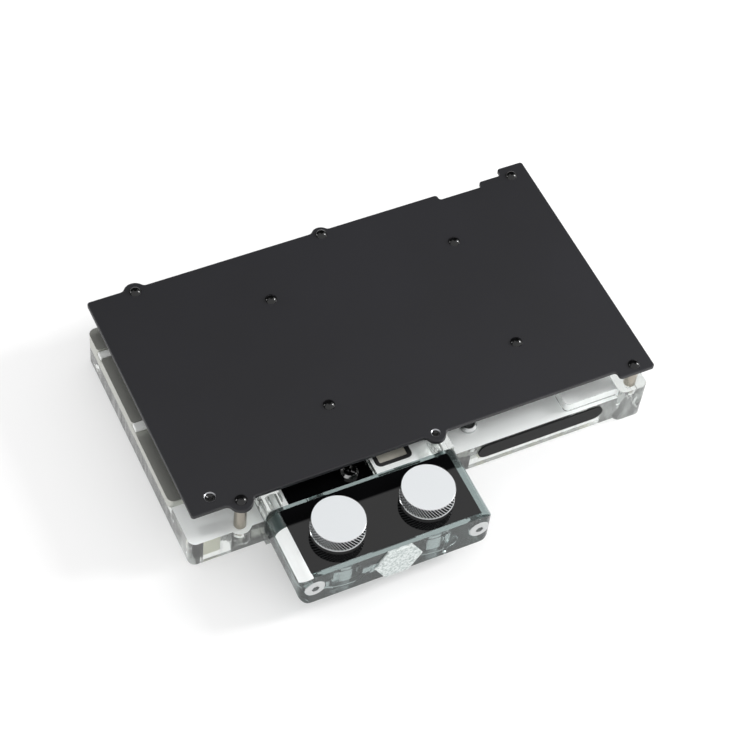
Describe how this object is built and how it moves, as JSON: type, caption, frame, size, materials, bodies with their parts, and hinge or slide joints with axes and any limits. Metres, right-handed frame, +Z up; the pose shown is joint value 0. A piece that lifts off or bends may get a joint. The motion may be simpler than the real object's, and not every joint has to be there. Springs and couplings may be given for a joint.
{
  "type": "gpu water block",
  "caption": "Clear-bodied graphics-card water block with a nickel cold plate, a black backplate on standoffs and a side terminal closed by knurled stop plugs.",
  "frame": {"origin": "under the middle of the whole part, on the underside of the clear body", "axes": "+X along the card from the outer end towards the end with the raised block, +Y from the terminal towards the far edge, +Z up from the clear body to the backplate"},
  "size_m": [0.171, 0.1308, 0.0283],
  "materials": {
    "black_anodised": "matte black anodised",
    "black_steel": "black oxide",
    "dark_steel": "dark zinc, satin",
    "nickel_brass": "nickel plated, turned",
    "clear_acrylic": "clear, polished",
    "nickel_plate": "bright nickel plate",
    "steel_screw": "stainless",
    "seal_rubber": "black rubber",
    "gloss_black": "polished black",
    "silver_plug": "fine satin silver, knurled edge",
    "frosted_silver": "frosted silver",
    "white_board": "white lacquered board",
    "light_chip": "moulded",
    "cream_plastic": "moulded cream plastic"
  },
  "bodies": {
    "root": {"backplate": "black_anodised", "perimeter_screws": "black_steel", "gpu_screws": "black_steel", "standoffs": "nickel_brass", "gpu_posts": "nickel_brass", "clear_body": "clear_acrylic", "terminal_block": "clear_acrylic", "cold_plate": "nickel_plate", "cold_plate_screws": "steel_screw", "land_screw": "steel_screw", "bridge_cover_screw": "dark_steel", "terminal_screws": "steel_screw", "coolant_seal": "seal_rubber", "terminal_seals": "seal_rubber", "plug_seals": "seal_rubber", "bridge_cover": "gloss_black", "terminal_panel": "gloss_black", "stop_plug_left": "silver_plug", "stop_plug_right": "silver_plug", "hex_badge": "frosted_silver", "side_badge": "gloss_black", "light_strip": "white_board", "light_chips": "light_chip", "light_connector": "cream_plastic"}
  },
  "joints": []
}
